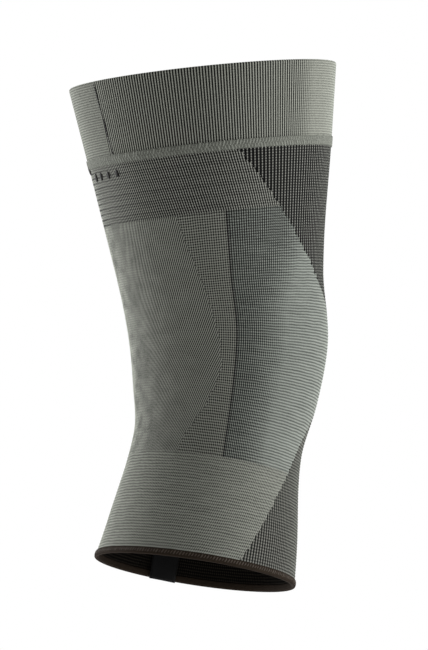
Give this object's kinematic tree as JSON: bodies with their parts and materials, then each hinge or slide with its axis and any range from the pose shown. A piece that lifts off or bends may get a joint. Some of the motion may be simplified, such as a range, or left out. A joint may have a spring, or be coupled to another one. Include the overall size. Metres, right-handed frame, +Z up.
{
  "type": "knee compression sleeve",
  "caption": "Knitted knee sleeve for sport: flared tube of ribbed and mesh zones with a wide thigh band, a back panel over the knee hollow and a bound lower hem.",
  "frame": {"origin": "middle of the lower opening, at the hem's lower edge", "axes": "+Z up along the shin axis, -Y to the kneecap, +Y to the hollow of the knee, X across the leg"},
  "size_m": [0.1556, 0.1756, 0.3026],
  "materials": {
    "ribbed_knit": "matte grey ribbed compression knit, dark inside",
    "grid_mesh": "matte grey square-grid mesh knit",
    "fine_mesh": "matte grey fine diagonal mesh knit",
    "open_mesh": "matte near-black open mesh knit with grey wales",
    "dark_thread": "matte black polyamide thread",
    "binding": "soft dark brown elastic binding",
    "band": "matte grey vertically ribbed elastic band",
    "seam_thread": "grey textured polyamide cover stitching",
    "silicone": "translucent satin silicone",
    "label": "black woven satin"
  },
  "bodies": {
    "calf": {"calf_knit": "ribbed_knit", "lower_front_wedge": "open_mesh", "hem_binding": "binding", "label_stitching": "dark_thread", "knee_knit": "ribbed_knit", "back_panel": "grid_mesh", "hollow_mesh": "fine_mesh", "panel_edge_left": "dark_thread", "panel_edge_right": "dark_thread"},
    "thigh": {"thigh_band": "band", "grip_dots": "silicone", "band_closing_seam": "dark_thread", "joining_seam": "seam_thread", "joining_seam_inside": "seam_thread", "thigh_mesh": "grid_mesh", "upper_front_wedge": "open_mesh", "size_marks": "dark_thread"},
    "label": {"care_label": "label"}
  },
  "joints": [
    {"name": "knee_bend", "type": "hinge", "parent": "calf", "child": "thigh", "pos_m": [0, 0.01, 0.135], "axis": [-1, 0, 0], "range_deg": [-17, 60], "stiffness_Nm_per_rad": 0.6, "deforming": ["knee_knit", "back_panel", "hollow_mesh", "panel_edge_left", "panel_edge_right"]},
    {"name": "label_flap", "type": "hinge", "parent": "calf", "child": "label", "pos_m": [0.05173, -0.01216, 0.0185], "axis": [0.1908, 0.9816, 0], "range_deg": [0, 70]}
  ]
}
